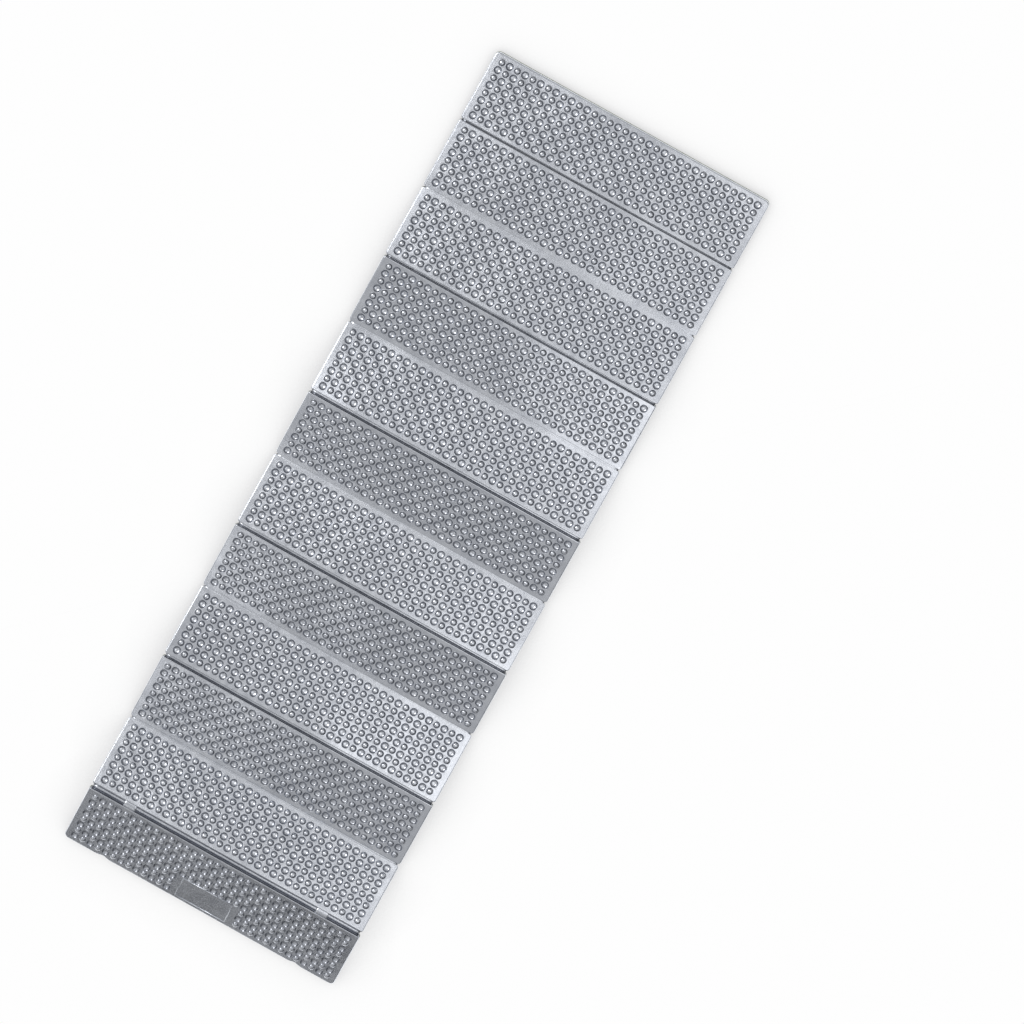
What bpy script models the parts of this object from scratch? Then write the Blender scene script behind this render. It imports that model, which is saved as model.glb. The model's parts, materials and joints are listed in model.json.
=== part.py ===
"""A folding foam sleeping pad, lying half open on its green side.

Twelve panels of moulded egg-crate foam carry an aluminised film on their upper face. Eleven
fold lines join them. The folds alternate: a valley fold turns at the film face and a mountain
fold turns at the green face, so the pad closes into a flat stack, film to film and green to
green. Each panel here is the plain envelope of its moulded sheet, without the egg-crate relief.

World axes: X across the pad, Y along it with panel 1 at the +Y end, Z up from the ground.
"""

import math

import bmesh
import bpy
from mathutils import Matrix

# Driving dimensions, in metres.
PANEL_COUNT = 12
PAD_WIDTH = 0.600
PANEL_PITCH = 0.1525  # from one fold line to the next
SHEET_THICKNESS = 0.011  # the moulded sheet at its flat rims, film included
FILM_THICKNESS = 0.0004
BOND_GAP = 0.0003  # between the foam and its film
OUTER_CORNER_RADIUS = 0.010  # the pad's own four corners
FOLD_CORNER_RADIUS = 0.002  # panel corners beside a fold
EDGE_ROUND = 0.0008  # the foam's lower edges

# Folds.
FOLD_HALF_GAP = 0.0015  # from a fold line to the panel edge on either side of it
AXIS_OUTSIDE_FACE = 0.00025  # a fold turns about a line just outside the sheet's face
WEB_WIDTH = 0.0016  # the pressed-thin line of sheet that bends
WEB_THICKNESS = 0.0006
WEB_END_INSET = 0.002  # from the web's end to the pad's side
FILM_FACE, GREEN_FACE = 1, -1  # which face of the sheet a fold turns at

# Rise from a valley fold up to the mountain fold beside it, for each pair of panels.
MOUNTAIN_RISES = (0.0, 0.014, 0.032, 0.033, 0.034, 0.072)

# Dents that the stowing straps leave in the outer edge of the last panel.
STRAP_DENT_WIDTH = 0.028
STRAP_DENT_DEPTH = 0.0035
STRAP_DENT_X = 0.213  # from the pad's centre line
CUTTER_HEIGHT = 0.05
CUTTER_SIDES = 96

ROOT_PANEL = 2  # lies level on the ground, and the other panels hang from it
CORNER_SEGMENTS = 6
SQUARE_CORNER = math.radians(80)
EDGE_SEGMENTS = 2
AXIS_OFFSET = SHEET_THICKNESS / 2 + AXIS_OUTSIDE_FACE  # from the sheet's middle to a fold's axis

# Linear colours.
FOAM_GREEN = (0.115, 0.135, 0.062)
FILM_SILVER = (0.62, 0.64, 0.68)


def clear_scene():
    for thing in list(bpy.data.objects):
        bpy.data.objects.remove(thing, do_unlink=True)


def make_collection(name):
    collection = bpy.data.collections.new(name)
    bpy.context.scene.collection.children.link(collection)
    return collection


def make_material(name, colour, roughness, metallic):
    material = bpy.data.materials.new(name)
    material.use_nodes = True
    shader = material.node_tree.nodes["Principled BSDF"]
    shader.inputs["Base Color"].default_value = (*colour, 1.0)
    shader.inputs["Roughness"].default_value = roughness
    shader.inputs["Metallic"].default_value = metallic
    return material


def add_object(name, bm, material, collection, parent):
    mesh = bpy.data.meshes.new(name)
    bm.to_mesh(mesh)
    bm.free()
    if material:
        mesh.materials.append(material)
    thing = bpy.data.objects.new(name, mesh)
    thing.parent = parent
    collection.objects.link(thing)
    return thing


def fold_face(fold):
    """Even folds are valleys, which turn at the film. Odd folds are mountains."""
    return FILM_FACE if fold % 2 == 0 else GREEN_FACE


def panel_tilt(panel):
    """Turn about X. An odd panel rises towards the foot of the pad, and an even one comes down."""
    rise = MOUNTAIN_RISES[(panel - 1) // 2]
    angle = math.asin(rise / PANEL_PITCH)
    return -angle if panel % 2 else angle


def pivot_in_panel(panel):
    """(y, z) of the fold axis that the panel turns about, from the middle of the panel's head edge."""
    if panel < ROOT_PANEL:
        return -PANEL_PITCH, fold_face(panel) * AXIS_OFFSET
    return 0.0, fold_face(panel - 1) * AXIS_OFFSET


def make_pivots(collection):
    """One empty on each fold axis, each holding its panel and, beyond it, the next pivot."""

    def pivot(name, parent, y, z, turn):
        empty = bpy.data.objects.new(name, None)
        empty.empty_display_size = 0.03
        empty.parent = parent
        empty.location = (0.0, y, z)
        empty.rotation_euler = (turn, 0.0, 0.0)
        collection.objects.link(empty)
        return empty

    # The root panel's pivot is the fold at its head edge, a mountain fold at ground level.
    root_height = SHEET_THICKNESS / 2 + fold_face(ROOT_PANEL - 1) * AXIS_OFFSET
    pivots = {ROOT_PANEL: pivot("pad_root", None, head_fold_y(), root_height, 0.0)}
    pivots[1] = pivot("pivot_01", pivots[ROOT_PANEL], 0.0, 0.0, panel_tilt(1))
    for panel in range(ROOT_PANEL + 1, PANEL_COUNT + 1):
        step_up = (fold_face(panel - 1) - fold_face(panel - 2)) * AXIS_OFFSET
        turn = panel_tilt(panel) - panel_tilt(panel - 1)
        before = pivots[panel - 1]
        pivots[panel] = pivot(f"pivot_{panel:02d}", before, -PANEL_PITCH, step_up, turn)
    return pivots


def panel_step(panel):
    """How far the pad runs in -Y from the panel's head fold axis to its foot fold axis."""
    across = (fold_face(panel) - fold_face(panel - 1)) * AXIS_OFFSET
    tilt = panel_tilt(panel)
    return PANEL_PITCH * math.cos(tilt) + across * math.sin(tilt)


def head_fold_y():
    """Y of fold 1, with the whole pad centred on Y = 0."""
    beyond_root = sum(panel_step(panel) for panel in range(ROOT_PANEL, PANEL_COUNT))
    last = panel_tilt(PANEL_COUNT)
    film_height = SHEET_THICKNESS + AXIS_OUTSIDE_FACE  # above the last fold's axis
    last_reach = PANEL_PITCH * math.cos(last) + film_height * math.sin(last)
    return (beyond_root + last_reach - PANEL_PITCH) / 2


def rounded_slab(panel, z_low, z_high):
    """The panel's outline between two heights above the middle of its sheet, about its pivot."""
    y_head = 0.0 if panel == 1 else -FOLD_HALF_GAP
    y_foot = -PANEL_PITCH + (0.0 if panel == PANEL_COUNT else FOLD_HALF_GAP)
    pivot_y, pivot_z = pivot_in_panel(panel)
    size = (PAD_WIDTH, y_head - y_foot, z_high - z_low)
    centre = (0.0, (y_head + y_foot) / 2 - pivot_y, (z_high + z_low) / 2 - pivot_z)
    bm = bmesh.new()
    bmesh.ops.create_cube(bm, size=1.0, matrix=Matrix.LocRotScale(centre, None, size))
    # The outer corners take the large radius, and whatever is still square after them the small one.
    outer_y = {1: y_head - pivot_y, PANEL_COUNT: y_foot - pivot_y}.get(panel)
    if outer_y is not None:
        bevel_corners(bm, OUTER_CORNER_RADIUS, lambda y: abs(y - outer_y) < OUTER_CORNER_RADIUS)
    bevel_corners(bm, FOLD_CORNER_RADIUS, lambda y: True)
    return bm


def bevel_corners(bm, radius, at_this_y):
    """Rounds the square upright edges that stand where at_this_y says so."""
    edges = [
        edge
        for edge in bm.edges
        if edge.calc_face_angle() > SQUARE_CORNER
        and abs(edge.verts[0].co.y - edge.verts[1].co.y) < edge.calc_length() / 2
        and abs(edge.verts[0].co.x - edge.verts[1].co.x) < edge.calc_length() / 2
        and at_this_y(edge.verts[0].co.y)
    ]
    bmesh.ops.bevel(
        bm, geom=edges, offset=radius, segments=CORNER_SEGMENTS, profile=0.5, affect="EDGES"
    )


def round_lower_edges(bm):
    lowest = min(v.co.z for v in bm.verts)
    edges = [
        edge
        for edge in bm.edges
        if all(abs(v.co.z - lowest) < FILM_THICKNESS / 10 for v in edge.verts)
    ]
    bmesh.ops.bevel(
        bm, geom=edges, offset=EDGE_ROUND, segments=EDGE_SEGMENTS, profile=0.5, affect="EDGES"
    )


def make_foam(panel, pivot, material, collection):
    top = SHEET_THICKNESS / 2 - FILM_THICKNESS - BOND_GAP
    bm = rounded_slab(panel, -SHEET_THICKNESS / 2, top)
    round_lower_edges(bm)
    return add_object(f"foam_panel_{panel:02d}", bm, material, collection, pivot)


def make_film(panel, pivot, material, collection):
    top = SHEET_THICKNESS / 2
    bm = rounded_slab(panel, top - FILM_THICKNESS, top)
    return add_object(f"film_panel_{panel:02d}", bm, material, collection, pivot)


def make_fold_web(fold, pivots, materials, collection):
    """The bending line of sheet, lying halfway between the two panels' tilts."""
    face = fold_face(fold)
    half_bend = (panel_tilt(fold) - panel_tilt(fold + 1)) / 2
    bm = bmesh.new()
    size = (PAD_WIDTH - 2 * WEB_END_INSET, WEB_WIDTH, WEB_THICKNESS)
    depth = AXIS_OUTSIDE_FACE + WEB_THICKNESS / 2
    placed = Matrix.LocRotScale((0.0, 0.0, -face * depth), None, size)
    bmesh.ops.create_cube(bm, size=1.0, matrix=Matrix.Rotation(half_bend, 4, "X") @ placed)
    return add_object(f"fold_web_{fold:02d}", bm, materials[face], collection, pivots[fold + 1])


def cut_strap_dents(pieces, pivot, collection):
    """Shallow rounded dents in the outer edge, cut by two large upright cylinders."""
    half = STRAP_DENT_WIDTH / 2
    radius = (half**2 + STRAP_DENT_DEPTH**2) / (2 * STRAP_DENT_DEPTH)
    pivot_y, _ = pivot_in_panel(PANEL_COUNT)
    y = -PANEL_PITCH - pivot_y - radius + STRAP_DENT_DEPTH
    for side, name in ((-1, "left"), (1, "right")):
        bm = bmesh.new()
        bmesh.ops.create_cone(
            bm,
            cap_ends=True,
            segments=CUTTER_SIDES,
            radius1=radius,
            radius2=radius,
            depth=CUTTER_HEIGHT,
            matrix=Matrix.Translation((side * STRAP_DENT_X, y, 0.0)),
        )
        cutter = add_object(f"strap_dent_{name}", bm, None, collection, pivot)
        cutter.hide_render = True
        cutter.display_type = "WIRE"
        for piece in pieces:
            cut = piece.modifiers.new(f"strap dent {name}", "BOOLEAN")
            cut.operation = "DIFFERENCE"
            cut.object = cutter


def main():
    clear_scene()
    parts = make_collection("foam_sleeping_pad")
    cutters = make_collection("cutters")
    foam = make_material("olive_foam", FOAM_GREEN, roughness=0.85, metallic=0.0)
    film = make_material("aluminised_film", FILM_SILVER, roughness=0.32, metallic=1.0)
    pivots = make_pivots(parts)
    for panel in range(1, PANEL_COUNT + 1):
        foam_panel = make_foam(panel, pivots[panel], foam, parts)
        film_panel = make_film(panel, pivots[panel], film, parts)
        if panel == PANEL_COUNT:
            cut_strap_dents([foam_panel, film_panel], pivots[panel], cutters)
    webs = {FILM_FACE: film, GREEN_FACE: foam}
    for fold in range(1, PANEL_COUNT):
        make_fold_web(fold, pivots, webs, parts)


main()
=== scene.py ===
"""A folding foam sleeping pad with one silver face, half open on a pale studio floor.

Each of the twelve panels is a closed body of moulded green foam, dimpled on both faces, under a
thin aluminised skin. Bending strips cross the eleven folds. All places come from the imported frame.
"""

import json
import math

import bpy
import numpy as np
from mathutils import Matrix, Vector


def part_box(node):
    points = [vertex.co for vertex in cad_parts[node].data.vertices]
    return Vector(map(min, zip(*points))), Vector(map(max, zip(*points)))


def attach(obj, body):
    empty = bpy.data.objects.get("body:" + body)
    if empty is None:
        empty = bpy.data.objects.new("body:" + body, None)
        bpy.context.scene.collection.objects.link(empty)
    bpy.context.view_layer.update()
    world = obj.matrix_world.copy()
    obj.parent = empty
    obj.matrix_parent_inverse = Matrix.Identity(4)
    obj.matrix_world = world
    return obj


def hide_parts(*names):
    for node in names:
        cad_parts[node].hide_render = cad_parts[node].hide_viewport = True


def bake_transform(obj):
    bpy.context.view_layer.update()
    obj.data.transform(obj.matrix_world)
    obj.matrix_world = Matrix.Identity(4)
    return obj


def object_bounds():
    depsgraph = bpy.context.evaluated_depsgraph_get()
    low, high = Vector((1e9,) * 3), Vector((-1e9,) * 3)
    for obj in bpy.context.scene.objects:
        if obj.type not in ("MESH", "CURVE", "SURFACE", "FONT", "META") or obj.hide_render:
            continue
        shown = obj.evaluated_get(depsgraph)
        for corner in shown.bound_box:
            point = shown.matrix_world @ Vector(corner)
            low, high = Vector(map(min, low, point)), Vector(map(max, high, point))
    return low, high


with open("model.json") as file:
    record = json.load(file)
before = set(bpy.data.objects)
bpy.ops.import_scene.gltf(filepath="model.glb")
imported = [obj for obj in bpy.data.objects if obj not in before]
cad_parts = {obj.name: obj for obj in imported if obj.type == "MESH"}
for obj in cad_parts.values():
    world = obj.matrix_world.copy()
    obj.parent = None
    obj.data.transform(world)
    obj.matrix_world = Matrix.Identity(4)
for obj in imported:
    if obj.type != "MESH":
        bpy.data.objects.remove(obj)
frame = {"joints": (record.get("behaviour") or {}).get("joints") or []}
CAD_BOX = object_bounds()

# The pad's layout, read from the frame. Panel 2 lies level, so its own boxes give the sizes.
JOINTS = {joint["name"]: joint for joint in frame["joints"]}
PANEL_COUNT = len(JOINTS) + 1
LEVEL_PANEL = 2
FILM_FACE, GREEN_FACE = 1, -1


def fold_axis(fold):
    return Vector(JOINTS[f"fold_{fold:02d}"]["pos_m"])


FOAM_LOW, FOAM_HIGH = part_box(f"foam_panel_{LEVEL_PANEL:02d}")
_, FILM_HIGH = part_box(f"film_panel_{LEVEL_PANEL:02d}")
HALF_WIDTH = FOAM_HIGH.x
THICKNESS = FILM_HIGH.z - FOAM_LOW.z
PITCH = fold_axis(1).y - fold_axis(2).y
AXIS_OFFSET = (fold_axis(2).z - fold_axis(1).z) / 2  # from the sheet's middle to a fold's axis
HALF_GAP = fold_axis(1).y - FOAM_HIGH.y  # from a fold line to the panel edge on either side

# The lattice of dimples.
COLUMNS, ROWS = 34, 8
LATTICE = 0.017
RELIEF = 0.0045
BUMP_RADIUS, PIT_RADIUS = 0.0069, 0.0081
# Shares of the radius and of the relief, from the middle out: a shallow dome, then a steep wall.
BUMP_PROFILE = (
    (0, 1), (0.36, 0.93), (0.62, 0.77), (0.80, 0.47), (0.93, 0.12), (1, 0.01), (1.05, 0)
)  # fmt: skip
PIT_PROFILE = (
    (0, -1), (0.40, -0.93), (0.67, -0.78), (0.83, -0.47), (0.94, -0.12), (1, -0.01), (1.03, 0)
)  # fmt: skip
# The wall share of the centre point, each ring and the cell's border: 1 where the sheet is steep,
# 0 where it is level. The materials paint shade on the walls by it.
WALL_SHARES = (0, 0.05, 0.35, 0.85, 1, 0.8, 0.15, 0)
SEGMENTS = 12  # round a dimple, and round its lattice square
SIDE_STEPS = SEGMENTS // 4
WELD = 1e-6  # points closer than this become one

# Rims and edges.
SKIN = 0.00015  # the film lies this far outside the foam
OUTER_CORNER = 0.010  # corner radii in plan
FOLD_CORNER = 0.005
CORNER_STEPS = 3  # for half a corner
OUTER_ROUND = 0.0026  # edge radii: along the pad's own sides
OPEN_ROUND = 0.0016  # along the open side of a fold
FLUSH_ROUND = 0.0003  # along the side where a fold turns
RIM_MARGIN = 0.0008  # level rim inside the rounding
ROUND_ANGLES = (0, 30, 60, 90)  # where the loops over an edge lie, in degrees
# Beside the open side of a fold, the wall share paints shade down the groove's sides.
GROOVE_WALL = 1.2  # the wall share of the sheet beside a groove
OUTER_SKIRT = 0.0008  # how far the film hangs below the rounded edge
FLUSH_SKIRT = 0.0003
TUCK = 0.0006  # how far the film's last edge turns in

# The strips that bend at the folds.
STRIP_THICKNESS = 0.0030
STRIP_SUNK = 0.0001  # below the panel faces beside it
STRIP_TUCK = 0.0014  # how far it runs under the panel beside it
STRIP_END_INSET = 0.0045
STRIP_STEPS = 6  # from the fold line to a panel's edge
STRIP_CUTS, MARK_CUTS = 60, 8  # along the fold, for a strip and for a strap mark

# Marks of the stowing straps, and the blank label field.
STRAP_X = 0.213
DENT_HALF_WIDTH, DENT_DEPTH = 0.014, 0.0035
MARK_HALF_WIDTH, MARK_SUNK = 0.013, 0.0016
LABEL_FIRST_ROW = 6  # in the label's columns, dimples stop from this row to the outer edge
LABEL_COLUMNS = range(14, 22)
LABEL_HALF_WIDTH = 0.0546
LABEL_TOP, LABEL_BOTTOM = -0.0935, -0.1440
LABEL_LINE_RADIUS = 0.0013


def fold_face(fold):
    """Even folds are valleys, which turn at the film. Odd folds turn at the green face."""
    return FILM_FACE if fold % 2 == 0 else GREEN_FACE


def rest_tilts():
    """Each panel's turn about X at rest. A fold's low limit is where its two panels lie flat."""
    tilts = {LEVEL_PANEL: 0.0}
    for fold in range(LEVEL_PANEL, PANEL_COUNT):
        joint = JOINTS[f"fold_{fold:02d}"]
        tilts[fold + 1] = tilts[fold] - joint["axis"][0] * math.radians(joint["range_deg"][0])
    first = JOINTS["fold_01"]
    tilts[1] = tilts[LEVEL_PANEL] - first["axis"][0] * math.radians(first["range_deg"][0])
    return tilts


TILTS = rest_tilts()


def panel_place(panel):
    """From the panel's own axes to the frame. Its y is 0 at the head fold, its z 0 mid-sheet."""
    fold, y = (1, -PITCH) if panel == 1 else (panel - 1, 0.0)
    turn = Matrix.Rotation(TILTS[panel], 4, "X")
    pivot = Vector((0.0, y, fold_face(fold) * AXIS_OFFSET))
    return Matrix.Translation(fold_axis(fold)) @ turn @ Matrix.Translation(-pivot)


def add_mesh(name, points, faces, materials, face_slots=None, place=None, walls=None):
    """A smooth-shaded mesh object. face_slots picks each face's material, and walls holds each
    point's wall share, which the materials read."""
    mesh = bpy.data.meshes.new(name)
    mesh.from_pydata(np.asarray(points).tolist(), [], faces)
    if place is not None:
        mesh.transform(place)
    for material in materials:
        mesh.materials.append(material)
    if face_slots is not None:
        mesh.polygons.foreach_set("material_index", face_slots)
    if walls is not None:
        mesh.attributes.new("wall", "FLOAT", "POINT").data.foreach_set("value", walls)
    mesh.shade_smooth()
    mesh.update()
    piece = bpy.data.objects.new(name, mesh)
    bpy.context.scene.collection.objects.link(piece)
    return piece


# ---------------------------------------------------------------- the dimpled faces


def dimple_cell(profile, radius):
    """One lattice square: a centre point, rings up or down the dimple, the square's border."""
    angles = math.radians(45) + np.arange(SEGMENTS) * math.tau / SEGMENTS
    rounds = np.stack([np.cos(angles), np.sin(angles)], axis=1)
    points = [np.array([[0.0, 0.0, RELIEF * profile[0][1]]])]
    for share, rise in profile[1:]:
        height = np.full((SEGMENTS, 1), RELIEF * rise)
        points.append(np.hstack([rounds * radius * share, height]))
    corners = np.array([(1, 1), (-1, 1), (-1, -1), (1, -1)]) * LATTICE / 2
    steps = np.arange(SIDE_STEPS)[:, None] / SIDE_STEPS
    sides = [a + (b - a) * steps for a, b in zip(corners, np.roll(corners, -1, axis=0))]
    border = np.vstack(sides)
    points.append(np.hstack([border, np.zeros((SEGMENTS, 1))]))
    return np.vstack(points)


def cell_faces(ring_count):
    faces = [(0, 1 + i, 1 + (i + 1) % SEGMENTS) for i in range(SEGMENTS)]
    for ring in range(ring_count - 1):
        inner, outer = 1 + ring * SEGMENTS, 1 + (ring + 1) * SEGMENTS
        for i in range(SEGMENTS):
            j = (i + 1) % SEGMENTS
            faces.append((inner + i, outer + i, outer + j, inner + j))
    return faces


FIELD_HALF_WIDTH = COLUMNS * LATTICE / 2
FIELD_HEAD = -(PITCH - ROWS * LATTICE) / 2
FIELD_FOOT = FIELD_HEAD - ROWS * LATTICE


def is_label_cell(panel, face, row, column):
    in_field = row >= LABEL_FIRST_ROW and column in LABEL_COLUMNS
    return panel == PANEL_COUNT and face == FILM_FACE and in_field


def dimple_field(panel, face):
    """One face's dimples, welded along cell borders: points (x, y, relief outwards, wall share)
    and faces."""
    bump = dimple_cell(BUMP_PROFILE, BUMP_RADIUS)
    pit = dimple_cell(PIT_PROFILE, PIT_RADIUS)
    walls = np.repeat(WALL_SHARES, [1] + [SEGMENTS] * (len(WALL_SHARES) - 1))
    bump, pit = (np.column_stack([cell, walls]) for cell in (bump, pit))
    level = bump * (1, 1, 0, 0)
    faces_of_cell = cell_faces(len(BUMP_PROFILE))
    points, faces = [], []
    for row in range(1, ROWS + 1):
        for column in range(1, COLUMNS + 1):
            film_bump = (row + column) % 2 == 0
            cell = bump if film_bump == (face == FILM_FACE) else pit
            if is_label_cell(panel, face, row, column):
                cell = level
            x = (column - (COLUMNS + 1) / 2) * LATTICE
            y = FIELD_HEAD - (row - 0.5) * LATTICE
            base = len(points) * len(cell)
            points.append(cell + (x, y, 0, 0))
            faces.extend(tuple(base + i for i in f) for f in faces_of_cell)
    points = np.vstack(points)
    keys = np.round(points / WELD).astype(np.int64)
    _, first, index = np.unique(keys, axis=0, return_index=True, return_inverse=True)
    index = index.reshape(-1)
    return points[first], [tuple(int(index[i]) for i in f) for f in faces]


def field_border():
    """The lattice's points round the field's edge, anticlockwise from its foot corner at -X."""
    step = LATTICE / SIDE_STEPS
    across, along = COLUMNS * SIDE_STEPS, ROWS * SIDE_STEPS
    left, right = -FIELD_HALF_WIDTH, FIELD_HALF_WIDTH
    border = [(left + i * step, FIELD_FOOT) for i in range(across)]
    border += [(right, FIELD_FOOT + i * step) for i in range(along)]
    border += [(right - i * step, FIELD_HEAD) for i in range(across)]
    border += [(left, FIELD_HEAD - i * step) for i in range(along)]
    return np.array(border)


BORDER = field_border()


def border_indices(points):
    """Which of the field's points lie on its border, in the border's order."""
    found = {}
    for i, (x, y) in enumerate(np.round(points[:, :2] / WELD).astype(np.int64)):
        found[(x, y)] = i
    return [found[(x, y)] for x, y in np.round(BORDER / WELD).astype(np.int64)]


# ---------------------------------------------------------------- rims


def side_kind(panel, head, face):
    """What a panel meets on its head or foot side, seen from one face."""
    fold = panel - 1 if head else panel
    if fold in (0, PANEL_COUNT):
        return "outer"
    return "flush" if fold_face(fold) == face else "open"


def strap_dent(panel, x):
    """How far the outer edge of the last panel is pressed in at x."""
    if panel != PANEL_COUNT:
        return 0.0
    off = (abs(x) - STRAP_X) / DENT_HALF_WIDTH
    return DENT_DEPTH * math.cos(off * math.pi / 2) ** 2 if abs(off) < 1 else 0.0


def panel_outline(panel):
    """The panel's edge and its outward normals, one point for each point of the field's border."""
    y_head = 0.0 if panel == 1 else -HALF_GAP
    y_foot = -PITCH + (0.0 if panel == PANEL_COUNT else HALF_GAP)
    head_radius = OUTER_CORNER if panel == 1 else FOLD_CORNER
    foot_radius = OUTER_CORNER if panel == PANEL_COUNT else FOLD_CORNER
    corners = []
    for x, y, radius in (
        (-HALF_WIDTH, y_foot, foot_radius),
        (HALF_WIDTH, y_foot, foot_radius),
        (HALF_WIDTH, y_head, head_radius),
        (-HALF_WIDTH, y_head, head_radius),
    ):
        inward = Vector((-math.copysign(radius, x), radius if y == y_foot else -radius))
        corners.append((Vector((x, y)) + inward, radius))
    points, normals = [], []
    counts = [COLUMNS * SIDE_STEPS, ROWS * SIDE_STEPS] * 2
    for side, count in enumerate(counts):
        facing = math.radians(90 * side - 90)
        for i in range(count):
            from_end = count - i
            if i <= CORNER_STEPS:
                (centre, radius), share = corners[side], i / CORNER_STEPS - 1
            elif from_end <= CORNER_STEPS:
                (centre, radius) = corners[(side + 1) % 4]
                share = 1 - from_end / CORNER_STEPS
            else:
                centre, share = None, 0.0
            angle = facing + share * math.radians(45)
            normal = Vector((math.cos(angle), math.sin(angle)))
            if centre is None:
                x, y = BORDER[len(points)]
                point = Vector(
                    ((x, y_foot), (HALF_WIDTH, y), (x, y_head), (-HALF_WIDTH, y))[side]
                )
            else:
                point = centre + radius * normal
            if side == 0:
                point.y += strap_dent(panel, point.x)
            points.append(point)
            normals.append(normal)
    return np.array(points), np.array(normals)


def by_side(normals, outer, head, foot):
    """A size at each outline point: outer on the pad's sides, head or foot on the other two."""
    across = normals[:, 0] ** 2
    along = np.where(normals[:, 1] > 0, head, foot)
    return outer * across + along * (1 - across)


def rim_loops(panel, face, inset, rounds_only):
    """Loops (x, y, drop below the face, wall share) from the field's border outwards and over the
    edge. The wall share grows over an edge beside the open side of a fold, where the materials paint
    shade down into the groove. rounds_only leaves out the film's hanging skirt."""
    outline, normals = panel_outline(panel)
    kinds = [side_kind(panel, head, face) for head in (True, False)]
    rounding = {"outer": OUTER_ROUND, "open": OPEN_ROUND, "flush": FLUSH_ROUND}
    skirt = {"outer": OUTER_SKIRT, "open": THICKNESS - OPEN_ROUND - TUCK, "flush": FLUSH_SKIRT}
    radius = by_side(normals, OUTER_ROUND, *[rounding[kind] for kind in kinds])
    hang = by_side(normals, OUTER_SKIRT, *[skirt[kind] for kind in kinds])
    groove = by_side(normals, 0.0, *[float(kind == "open") for kind in kinds])

    def loop(back, drop, wall=0.0):
        xy = outline - normals * (back + inset)[:, None]
        return np.column_stack([xy, drop, groove * wall])

    zero = np.zeros(len(outline))
    loops = [loop(radius + RIM_MARGIN, zero)]
    for angle in map(math.radians, ROUND_ANGLES):
        over, down = 1 - math.sin(angle), 1 - math.cos(angle)
        loops.append(loop(radius * over, radius * down, GROOVE_WALL * down))
    if not rounds_only:
        loops.append(loop(zero, radius + hang, GROOVE_WALL))
        loops.append(loop(zero + TUCK, radius + hang + TUCK / 4, GROOVE_WALL))
    return loops


def join_loops(faces, inner, outer):
    """Adds a band of faces between two loops of point numbers."""
    for i, a in enumerate(inner):
        j = (i + 1) % len(inner)
        faces.append((a, outer[i], outer[j], inner[j]))


def dimpled_shell(panel, face, level, inset, rounds_only):
    """One face of the panel with its rim, level above mid-sheet: points (x, y, z, wall share),
    faces, and the outermost loop."""
    points, faces = dimple_field(panel, face)
    ring = border_indices(points)
    points[:, 2] = face * (level + points[:, 2])
    for loop in rim_loops(panel, face, inset, rounds_only):
        start = len(points)
        loop[:, 2] = face * (level - loop[:, 2])
        points = np.vstack([points, loop])
        outer = list(range(start, start + len(loop)))
        join_loops(faces, ring, outer)
        ring = outer
    if face == GREEN_FACE:
        faces = [f[::-1] for f in faces]
    return points, faces, ring


def make_foam(panel, material):
    half = THICKNESS / 2
    top, top_faces, top_ring = dimpled_shell(panel, FILM_FACE, half - SKIN, SKIN, True)
    low, low_faces, low_ring = dimpled_shell(panel, GREEN_FACE, half, SKIN, True)
    shift = len(top)
    faces = top_faces + [tuple(i + shift for i in f) for f in low_faces]
    join_loops(faces, top_ring, [i + shift for i in low_ring])
    points = np.vstack([top, low])
    name, place = f"foam_{panel:02d}", panel_place(panel)
    piece = add_mesh(name, points[:, :3], faces, [material], place=place, walls=points[:, 3])
    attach(piece, f"panel_{panel:02d}")
    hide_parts(f"foam_panel_{panel:02d}")


def make_film(panel, material):
    points, faces, _ = dimpled_shell(panel, FILM_FACE, THICKNESS / 2, 0.0, False)
    name, place = f"film_{panel:02d}", panel_place(panel)
    piece = add_mesh(name, points[:, :3], faces, [material], place=place, walls=points[:, 3])
    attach(piece, f"panel_{panel:02d}")
    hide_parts(f"film_panel_{panel:02d}")


# ---------------------------------------------------------------- folds


def bent_point(fold, x, along, up):
    """A point near a fold, given flat in the head-side panel's axes from the fold's axis.
    Across the gap between the panels it turns smoothly from one panel's tilt to the other's."""
    share = min(max((HALF_GAP - along) / (2 * HALF_GAP), 0.0), 1.0)
    share = share * share * (3 - 2 * share)
    tilt = TILTS[fold] + share * (TILTS[fold + 1] - TILTS[fold])
    return fold_axis(fold) + Matrix.Rotation(tilt, 3, "X") @ Vector((x, along, up))


def bent_bar(fold, half_x, centre_x, up_range, x_steps):
    """A closed bar across a fold, bent with it and tucked under the panels on both sides: points,
    faces (the last two are its ends), and how many points its section has on each face."""
    reach = HALF_GAP + STRIP_TUCK
    inner = [(i / STRIP_STEPS - 1) * HALF_GAP for i in range(2 * STRIP_STEPS + 1)]
    alongs = [-reach] + inner + [reach]
    xs = [centre_x + half_x * (2 * i / x_steps - 1) for i in range(x_steps + 1)]
    section = [(along, up_range[1]) for along in alongs]
    section += [(along, up_range[0]) for along in reversed(alongs)]
    points = [bent_point(fold, x, along, up) for x in xs for along, up in section]
    size = len(section)
    faces = []
    for i in range(x_steps):
        for j in range(size):
            k = (j + 1) % size
            faces.append((i * size + j, i * size + k, (i + 1) * size + k, (i + 1) * size + j))
    last = x_steps * size
    faces.append(tuple(reversed(range(size))))
    faces.append(tuple(last + j for j in range(size)))
    return [tuple(point) for point in points], faces, len(alongs)


def flatten_ends(piece):
    """Shades a bar's two end faces flat."""
    for face in piece.data.polygons[-2:]:
        face.use_smooth = False


def bend_with(piece):
    """Bakes the piece's placement into its points; the bend itself comes from bent_bar."""
    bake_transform(piece)


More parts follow.
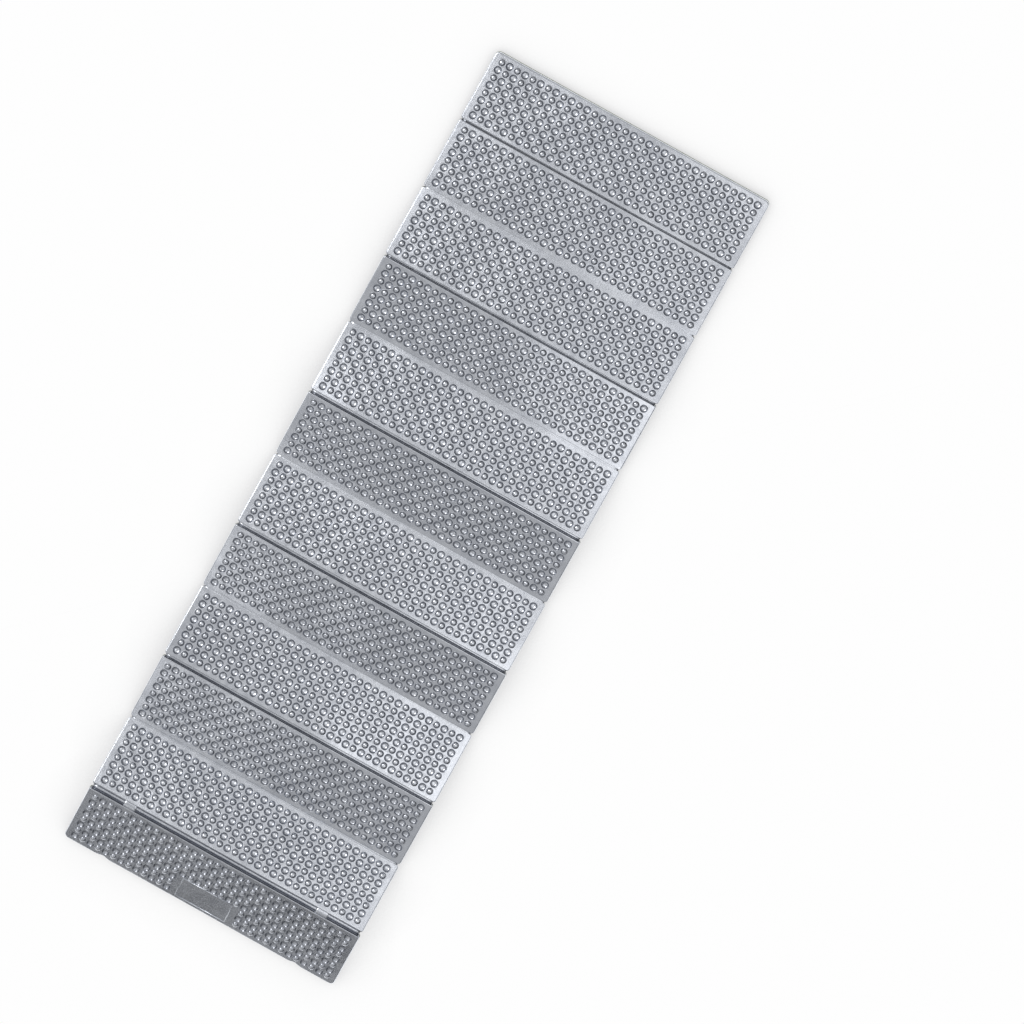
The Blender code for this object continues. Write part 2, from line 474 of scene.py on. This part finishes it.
def make_fold_strip(fold, film, foam):
    face = fold_face(fold)
    near = -face * (AXIS_OFFSET - THICKNESS / 2 + STRIP_SUNK)
    far = near - face * STRIP_THICKNESS
    up_range = (min(near, far), max(near, far))
    half_x = HALF_WIDTH - STRIP_END_INSET
    points, faces, row = bent_bar(fold, half_x, 0.0, up_range, STRIP_CUTS)
    # Slot 0 is the film, on the upper face. The sides, the ends and the lower face are foam.
    slots = [0 if i % (2 * row) < row - 1 else 1 for i in range(len(faces) - 2)] + [1, 1]
    piece = add_mesh(f"fold_strip_{fold:02d}", points, faces, [film, foam], slots)
    flatten_ends(piece)
    bend_with(piece)
    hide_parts(f"fold_web_{fold:02d}")


def make_strap_marks(fold, film):
    """The two short stretches of the last groove that are filled, where the straps cross."""
    top = AXIS_OFFSET + THICKNESS / 2 - MARK_SUNK
    bottom = AXIS_OFFSET - THICKNESS / 2 + STRIP_SUNK + STRIP_THICKNESS / 2
    for side, word in ((-1, "left"), (1, "right")):
        x = side * STRAP_X
        points, faces, _ = bent_bar(fold, MARK_HALF_WIDTH, x, (bottom, top), MARK_CUTS)
        piece = add_mesh(f"strap_mark_{fold:02d}_{word}", points, faces, [film])
        flatten_ends(piece)
        bend_with(piece)


def make_label_outline(film):
    """A thin raised line round the blank label field on the last panel."""
    curve = bpy.data.curves.new("label_outline", "CURVE")
    curve.dimensions = "3D"
    curve.bevel_depth = LABEL_LINE_RADIUS
    curve.bevel_resolution = 3
    spline = curve.splines.new("POLY")
    corners = [
        (-LABEL_HALF_WIDTH, LABEL_TOP),
        (LABEL_HALF_WIDTH, LABEL_TOP),
        (LABEL_HALF_WIDTH, LABEL_BOTTOM),
        (-LABEL_HALF_WIDTH, LABEL_BOTTOM),
    ]
    spline.points.add(len(corners) - 1)
    for point, (x, y) in zip(spline.points, corners):
        point.co = (x, y, THICKNESS / 2, 1.0)
    spline.use_cyclic_u = True
    curve.materials.append(film)
    piece = bpy.data.objects.new("label_outline", curve)
    piece.matrix_world = panel_place(PANEL_COUNT)
    bpy.context.scene.collection.objects.link(piece)
    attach(piece, f"panel_{PANEL_COUNT:02d}")


# ---------------------------------------------------------------- materials

# Colours are linear. A noise is its scale, as cycles in a metre, its detail and its roughness. A
# relief is a noise and how far it stands out.
FILM_SHADES = (0.63, 0.655, 0.71), (0.77, 0.795, 0.845)
FILM_BLOTCHES = 40, 4, 0.5
# Painted shade: the film is darkened on the steep walls of the dimples and grooves.
FILM_WALL_SHADE, FILM_WALL_SHADE_SHARE = (0.16, 0.17, 0.20), 0.8  # on the steep walls
FILM_ROUGHNESS, FILM_SMEARS = (0.19, 0.31), (90, 5, 0.6)
FILM_WAVES = (4, 1, 0.5), 0.012
FILM_CREASES = (260, 4, 0.6), 0.0002

FOAM_SHADES = (0.100, 0.120, 0.052), (0.142, 0.166, 0.079)
FOAM_BLOTCHES = 55, 6, 0.6
# Painted shade: the foam is darkened on the steep walls of the dimples and grooves.
FOAM_WALL_SHADE, FOAM_WALL_SHADE_SHARE = (0.040, 0.052, 0.018), 0.5  # on the steep walls
FOAM_ROUGHNESS, FOAM_SPECULAR = 0.82, 0.35
FOAM_LUMPS = (160, 3, 0.5), 0.0004
FOAM_CELLS = (1400, 3, 0.7), 0.00025

FLOOR_SHADES = (0.90, 0.90, 0.90), (0.92, 0.92, 0.92)
FLOOR_CLOUDS = 3, 2, 0.5
FLOOR_ROUGHNESS, FLOOR_SPECULAR = 0.9, 0.1
FLOOR_GLOW = 0.52
FLOOR_SHADE_REACH, FLOOR_SHADE_SAMPLES = 0.10, 2
FLOOR_SHADE_TINTS = (0.45, 0.45, 0.46), (1.0, 1.0, 1.0)  # closed in on all sides, and open
FLOOR_SHADE_RANGE = 0.0, 0.95

NOISE_RANGE = 0.3, 0.7  # where most of a noise's values lie
WHOLE_RANGE = 0.0, 1.0
MIX_FIRST, MIX_SECOND, MIX_RESULT = 6, 7, 2  # the colour sockets of a Mix node
WHITE = (1.0, 1.0, 1.0)


class Nodes:
    """Short forms for adding and joining the nodes of a material or a world."""

    def __init__(self, owner):
        owner.use_nodes = True
        self.tree = owner.node_tree
        self.coordinates = self.add("ShaderNodeTexCoord").outputs

    def add(self, kind, **settings):
        node = self.tree.nodes.new(kind)
        for name, value in settings.items():
            setattr(node, name, value)
        return node

    def join(self, start, end):
        self.tree.links.new(start, end)

    def noise(self, scale, detail, roughness):
        node = self.add("ShaderNodeTexNoise")
        node.inputs["Scale"].default_value = scale
        node.inputs["Detail"].default_value = detail
        node.inputs["Roughness"].default_value = roughness
        self.join(self.coordinates["Object"], node.inputs["Vector"])
        return node.outputs["Fac"]

    def spread(self, value, target, source):
        """A value taken from one range to another."""
        node = self.add("ShaderNodeMapRange")
        for name, number in zip(("From Min", "From Max", "To Min", "To Max"), source + target):
            node.inputs[name].default_value = number
        self.join(value, node.inputs["Value"])
        return node.outputs["Result"]

    def shades(self, value, ends, source=NOISE_RANGE):
        """From the first colour to the last as a value crosses its range."""
        node = self.add("ShaderNodeValToRGB")
        for stop, position, colour in zip(node.color_ramp.elements, source, ends):
            stop.position = position
            stop.color = (*colour, 1.0)
        self.join(value, node.inputs["Fac"])
        return node.outputs["Color"]

    def math(self, operation, *values):
        node = self.add("ShaderNodeMath", operation=operation)
        for value, entry in zip(values, node.inputs):
            if isinstance(value, float):
                entry.default_value = value
            else:
                self.join(value, entry)
        return node.outputs["Value"]

    def mixed(self, amount, first, second):
        """The first colour, turning to the second as amount goes from 0 to 1."""
        node = self.add("ShaderNodeMix", data_type="RGBA")
        self.join(amount, node.inputs["Factor"])
        self.join(first, node.inputs[MIX_FIRST])
        node.inputs[MIX_SECOND].default_value = (*second, 1.0)
        return node.outputs[MIX_RESULT]

    def on_walls(self, colour, painted_shade, share):
        """A colour, mixed with the painted shade colour by up to share where the wall share is 1."""
        wall = self.add("ShaderNodeAttribute", attribute_name="wall").outputs["Fac"]
        return self.mixed(self.spread(wall, (0.0, share), WHOLE_RANGE), colour, painted_shade)

    def bump(self, relief, before=None):
        noise, distance = relief
        node = self.add("ShaderNodeBump")
        node.inputs["Distance"].default_value = distance
        self.join(self.noise(*noise), node.inputs["Height"])
        if before is not None:
            self.join(before, node.inputs["Normal"])
        return node.outputs["Normal"]

    def is_camera_ray(self):
        return self.add("ShaderNodeLightPath").outputs["Is Camera Ray"]


def new_material(name):
    """A material, its nodes, and its shader."""
    material = bpy.data.materials.new(name)
    n = Nodes(material)
    return material, n, n.tree.nodes["Principled BSDF"]


def film_material():
    """Aluminised film bonded over foam: bright metal, softly uneven, with fine creases. Shade is
    painted into its colour on the steep walls of the dimples and grooves."""
    material, n, shader = new_material("aluminised_film")
    shader.inputs["Metallic"].default_value = 1.0
    unshaded_film = n.shades(n.noise(*FILM_BLOTCHES), FILM_SHADES)
    n.join(n.on_walls(unshaded_film, FILM_WALL_SHADE, FILM_WALL_SHADE_SHARE), shader.inputs["Base Color"])
    smears = n.spread(n.noise(*FILM_SMEARS), FILM_ROUGHNESS, NOISE_RANGE)
    n.join(smears, shader.inputs["Roughness"])
    n.join(n.bump(FILM_CREASES, before=n.bump(FILM_WAVES)), shader.inputs["Normal"])
    return material


def foam_material():
    """Closed-cell foam: matt olive with a fine cell texture, with shade painted on its steep walls.
    """
    material, n, shader = new_material("olive_foam")
    shader.inputs["Roughness"].default_value = FOAM_ROUGHNESS
    shader.inputs["Specular IOR Level"].default_value = FOAM_SPECULAR
    even = n.shades(n.noise(*FOAM_BLOTCHES), FOAM_SHADES)
    n.join(n.on_walls(even, FOAM_WALL_SHADE, FOAM_WALL_SHADE_SHARE), shader.inputs["Base Color"])
    n.join(n.bump(FOAM_CELLS, before=n.bump(FOAM_LUMPS)), shader.inputs["Normal"])
    return material


def floor_material():
    """A pale matt floor that glows a little. An eye above it sees the pale backdrop with the shade
    that the pad throws close by, so a panel swung down past the floor stays in sight. It isn't
    there for an eye below it."""
    material, n, shader = new_material("studio_floor")
    shader.inputs["Roughness"].default_value = FLOOR_ROUGHNESS
    shader.inputs["Specular IOR Level"].default_value = FLOOR_SPECULAR
    shader.inputs["Emission Color"].default_value = (*WHITE, 1.0)
    shader.inputs["Emission Strength"].default_value = FLOOR_GLOW
    n.join(n.shades(n.noise(*FLOOR_CLOUDS), FLOOR_SHADES), shader.inputs["Base Color"])

    near = n.add("ShaderNodeAmbientOcclusion", samples=FLOOR_SHADE_SAMPLES)
    near.inputs["Distance"].default_value = FLOOR_SHADE_REACH
    tint = n.shades(near.outputs["AO"], FLOOR_SHADE_TINTS, FLOOR_SHADE_RANGE)
    from_below = n.add("ShaderNodeNewGeometry").outputs["Backfacing"]
    clear = n.add("ShaderNodeBsdfTransparent")
    n.join(n.mixed(from_below, tint, WHITE), clear.inputs["Color"])

    either = n.add("ShaderNodeMixShader")
    first, second = either.inputs[1], either.inputs[2]
    n.join(n.math("MAXIMUM", from_below, n.is_camera_ray()), either.inputs["Fac"])
    n.join(shader.outputs["BSDF"], first)
    n.join(clear.outputs["BSDF"], second)
    n.join(either.outputs["Shader"], n.tree.nodes["Material Output"].inputs["Surface"])
    return material


# ---------------------------------------------------------------- studio

CAMERA_LEAN = math.radians(15.34)  # off the vertical, towards the head of the pad
CAMERA_ROLL = math.radians(29.16)
CAMERA_DISTANCE = 30.0
CAMERA_LENS = 546.6
AIM_RIGHT, AIM_UP = 0.1929, 0.0257  # where the camera looks, from the pad's middle

FLOOR_SIZE = 120.0
BACKDROP = 0.99  # what a camera sees behind the pad
# Brightness of the studio at the sine of each height over the horizon, as reflections see it. Only
# what swings down past the floor sees the part below the horizon.
STUDIO_SHADES = (
    (-1.0, 0.6),
    (-0.02, 0.6),
    (0.0, 0.02),
    (0.16, 0.06),
    (0.32, 0.46),
    (0.6, 0.455),
    (0.85, 0.48),
    (1.0, 0.50),
)
STUDIO_TINT = (0.985, 0.99, 1.0)
LIT_SIDE = (-0.9, 0.3, 0.0)  # the studio is brighter this way, and darker the other
LIT_SIDE_SHARE = 0.5

# Square soft lights that face the pad. Azimuth 0 is +X and 90 is +Y.
LAMPS = (
    {
        "name": "key",
        "azimuth": 160,
        "elevation": 50,
        "distance": 4.0,
        "size": 1.9,
        "power": 48,
        "colour": (1.0, 0.99, 0.97),
    },
    {
        "name": "fill",
        "azimuth": 10,
        "elevation": 45,
        "distance": 5.0,
        "size": 2.5,
        "power": 12,
        "colour": (0.95, 0.97, 1.0),
    },
)

# Level panels of light for the film to mirror: name, x range, y range, height, power. Where two
# overlap they hang at different heights, because one hides the other in the same plane.
SOFTBOXES = (
    ("right_wide", (0.05, 1.3), (-2.4, 1.2), 1.7, 0.9),
    ("right_near", (0.16, 1.0), (-0.6, 0.23), 1.6, 1.9),
    ("right_head", (0.16, 1.0), (0.51, 0.95), 1.6, 1.0),
    ("left_head", (-1.0, -0.22), (0.30, 0.48), 1.6, 0.65),
    ("left_foot", (-1.0, -0.22), (-2.1, -1.45), 1.6, 1.1),
)


def make_floor():
    low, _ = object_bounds()
    half = FLOOR_SIZE / 2
    signs = ((-1, -1), (1, -1), (1, 1), (-1, 1))
    corners = [(x * half, y * half, low.z) for x, y in signs]
    floor = add_mesh("studio_floor", corners, [(0, 1, 2, 3)], [floor_material()])


def make_camera():
    low, high = CAD_BOX
    back = Vector((0.0, math.sin(CAMERA_LEAN), math.cos(CAMERA_LEAN)))
    headward = Vector((0.0, math.cos(CAMERA_LEAN), -math.sin(CAMERA_LEAN)))
    across = Vector((1.0, 0.0, 0.0))
    right = across * math.cos(CAMERA_ROLL) + headward * math.sin(CAMERA_ROLL)
    up = headward * math.cos(CAMERA_ROLL) - across * math.sin(CAMERA_ROLL)
    data = bpy.data.cameras.new("camera")
    data.lens = CAMERA_LENS
    camera = bpy.data.objects.new("camera", data)
    turn = Matrix((right, up, back)).transposed().to_4x4()
    place = (low + high) / 2 + right * AIM_RIGHT + up * AIM_UP + back * CAMERA_DISTANCE
    camera.matrix_world = Matrix.Translation(place) @ turn
    bpy.context.scene.collection.objects.link(camera)
    bpy.context.scene.camera = camera


def new_light(name, power):
    data = bpy.data.lights.new(name, "AREA")
    data.energy = power
    light = bpy.data.objects.new(name, data)
    bpy.context.scene.collection.objects.link(light)
    return light


def add_lamp(name, azimuth, elevation, distance, size, power, colour):
    light = new_light(name, power)
    light.data.size = size
    light.data.color = colour
    turn, rise = math.radians(azimuth), math.radians(elevation)
    level = math.cos(rise)
    away = Vector((math.cos(turn) * level, math.sin(turn) * level, math.sin(rise)))
    facing = away.to_track_quat("Z", "Y").to_matrix().to_4x4()
    light.matrix_world = Matrix.Translation(away * distance) @ facing


def add_softbox(name, x_range, y_range, height, power):
    light = new_light(name, power)
    light.data.shape = "RECTANGLE"
    light.data.size = x_range[1] - x_range[0]
    light.data.size_y = y_range[1] - y_range[0]
    light.location = (sum(x_range) / 2, sum(y_range) / 2, height)
    light.visible_camera = False


def make_world():
    """A soft dome, brightest overhead and towards the lit side. A camera sees a plain pale
    backdrop in its place."""
    world = bpy.data.worlds.new("studio")
    n = Nodes(world)
    direction = n.coordinates["Generated"]
    axes = n.add("ShaderNodeSeparateXYZ")
    n.join(direction, axes.inputs["Vector"])
    ramp = n.add("ShaderNodeValToRGB")
    stops = ramp.color_ramp.elements
    while len(stops) < len(STUDIO_SHADES):
        stops.new(0.5)
    for stop, (height, shade) in zip(stops, STUDIO_SHADES):
        stop.position = (height + 1) / 2
        stop.color = (*(shade * part for part in STUDIO_TINT), 1.0)
    n.join(n.spread(axes.outputs["Z"], WHOLE_RANGE, (-1.0, 1.0)), ramp.inputs["Fac"])

    towards = n.add("ShaderNodeVectorMath", operation="DOT_PRODUCT")
    n.join(direction, towards.inputs[0])
    towards.inputs[1].default_value = LIT_SIDE
    lit = n.add("ShaderNodeVectorMath", operation="SCALE")
    n.join(ramp.outputs["Color"], lit.inputs["Vector"])
    share = n.math("MULTIPLY_ADD", towards.outputs["Value"], LIT_SIDE_SHARE, 1.0)
    n.join(share, lit.inputs["Scale"])

    backdrop = (BACKDROP, BACKDROP, BACKDROP)
    seen = n.mixed(n.is_camera_ray(), lit.outputs["Vector"], backdrop)
    n.join(seen, n.tree.nodes["Background"].inputs["Color"])
    bpy.context.scene.world = world


def make_studio():
    make_world()
    bpy.context.scene.view_settings.view_transform = "Standard"
    for lamp in LAMPS:
        add_lamp(**lamp)
    for softbox in SOFTBOXES:
        add_softbox(*softbox)


# ---------------------------------------------------------------- putting it together


def main():
    film, foam = film_material(), foam_material()
    for panel in range(1, PANEL_COUNT + 1):
        make_foam(panel, foam)
        make_film(panel, film)
    for fold in range(1, PANEL_COUNT):
        make_fold_strip(fold, film, foam)
    make_strap_marks(PANEL_COUNT - 1, film)
    make_label_outline(film)
    make_floor()
    make_camera()
    make_studio()


main()
